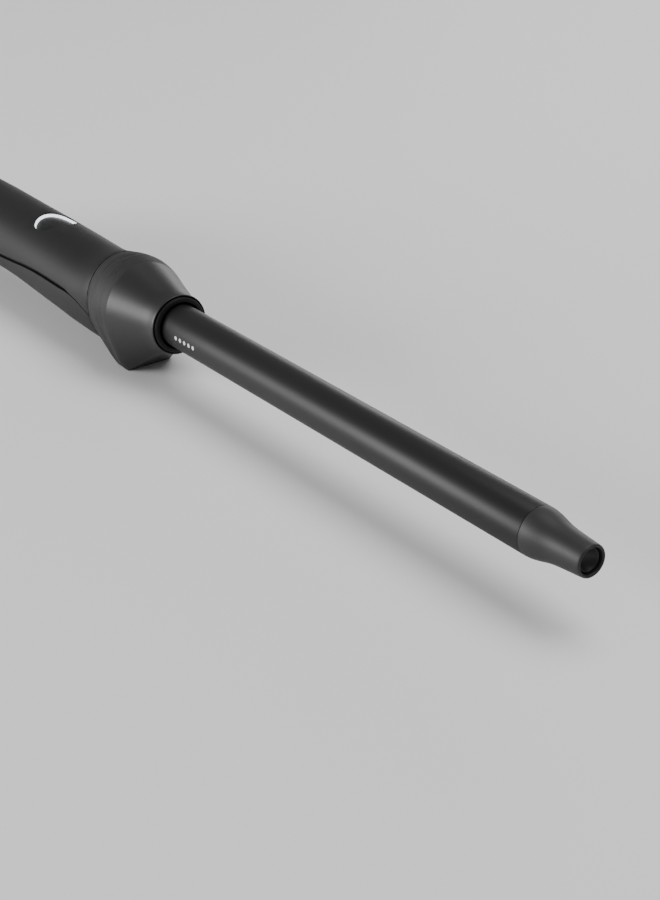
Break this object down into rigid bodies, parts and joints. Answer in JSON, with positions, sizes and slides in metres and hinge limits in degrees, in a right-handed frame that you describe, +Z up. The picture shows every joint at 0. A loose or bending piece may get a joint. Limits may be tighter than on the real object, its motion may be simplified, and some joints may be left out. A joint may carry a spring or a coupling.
{
  "type": "curling wand",
  "caption": "Slim electric curling wand: heated round barrel with a cool tip, flared collar with a rest foot, round handle with a recessed lit power button and a swivel cord entry.",
  "frame": {"origin": "centre of the flat underside of the collar's rest foot, on the surface that the wand lies on", "axes": "+X along the barrel towards the cool tip, +Y to the wand's left, +Z up through the power button"},
  "size_m": [0.3825, 0.031, 0.0366],
  "materials": {
    "satin_coating": "satin black ceramic-filled coating on aluminium",
    "tip_plastic": "matte charcoal heat-proof plastic",
    "casing_plastic": "matte black soft-touch moulding",
    "button_plastic": "matte dark grey moulding",
    "dark_plastic": "plain black moulding",
    "light_guide": "milky white diffuser",
    "aluminium": "extruded, bare",
    "ceramic": "sintered, matte",
    "screw_steel": "zinc plated",
    "board_green": "glass-fibre board with solder mask",
    "chip_black": "moulded component body",
    "part_blue": "moulded component body",
    "brass": "turned",
    "carbon": "pressed carbon brush",
    "lead_red": "silicone insulated wire",
    "lead_white": "glass-sleeved wire",
    "lead_brown": "silicone insulated wire",
    "lead_blue": "silicone insulated wire"
  },
  "bodies": {
    "wand": {"barrel_carrier": "dark_plastic", "barrel_screw": "screw_steel", "barrel_tube": "satin_coating", "board_screw_front": "screw_steel", "board_screw_rear": "screw_steel", "brush_block": "dark_plastic", "brush_front": "carbon", "brush_rear": "carbon", "button_light_ring": "light_guide", "buzzer": "chip_black", "capacitor": "part_blue", "collar": "casing_plastic", "collar_screw_left": "screw_steel", "collar_screw_right": "screw_steel", "control_board": "board_green", "cool_tip": "tip_plastic", "cool_tip_plug": "tip_plastic", "fuse": "ceramic", "gland_retainer": "screw_steel", "handle_lower_shell": "casing_plastic", "handle_top_shell": "casing_plastic", "heat_shield_ring": "dark_plastic", "heat_spreader_lower": "aluminium", "heat_spreader_upper": "aluminium", "heater_lead_front": "lead_white", "heater_lead_middle": "lead_white", "heater_lead_rear": "lead_white", "heater_plate_front": "ceramic", "heater_plate_middle": "ceramic", "heater_plate_rear": "ceramic", "mains_lead_left": "lead_brown", "mains_lead_right": "lead_blue", "microcontroller": "chip_black", "rear_cap": "casing_plastic", "ring_led_left": "light_guide", "ring_led_right": "light_guide", "sensor_lead_front": "lead_red", "sensor_lead_rear": "lead_red", "shell_screw_front": "screw_steel", "shell_screw_rear": "screw_steel", "switch_body": "chip_black", "terminal_block": "part_blue", "thermistor_front": "lead_red", "thermistor_rear": "lead_red", "triac": "chip_black", "trim_strip_left": "dark_plastic", "trim_strip_right": "dark_plastic"},
    "power_button": {"power_button": "button_plastic"},
    "switch_plunger": {"switch_plunger": "dark_plastic"},
    "cord_gland": {"cord_gland": "dark_plastic", "contact_ring_front": "brass", "contact_ring_rear": "brass"}
  },
  "joints": [
    {"name": "button_press", "type": "slide", "parent": "wand", "child": "power_button", "axis": [0, 0, -1], "range_m": [0, 0.0006], "stiffness_N_per_m": 1500, "springref_m": -0.0005},
    {"name": "plunger_press", "type": "slide", "parent": "wand", "child": "switch_plunger", "axis": [0, 0, -1], "range_m": [0, 0.0006]},
    {"name": "cord_swivel", "type": "hinge", "parent": "wand", "child": "cord_gland", "pos_m": [-0.1485, 0, 0.0212], "axis": [1, 0, 0], "continuous": true}
  ],
  "couplings": [
    {"joint": "plunger_press", "follows": "button_press", "ratio": 1}
  ]
}
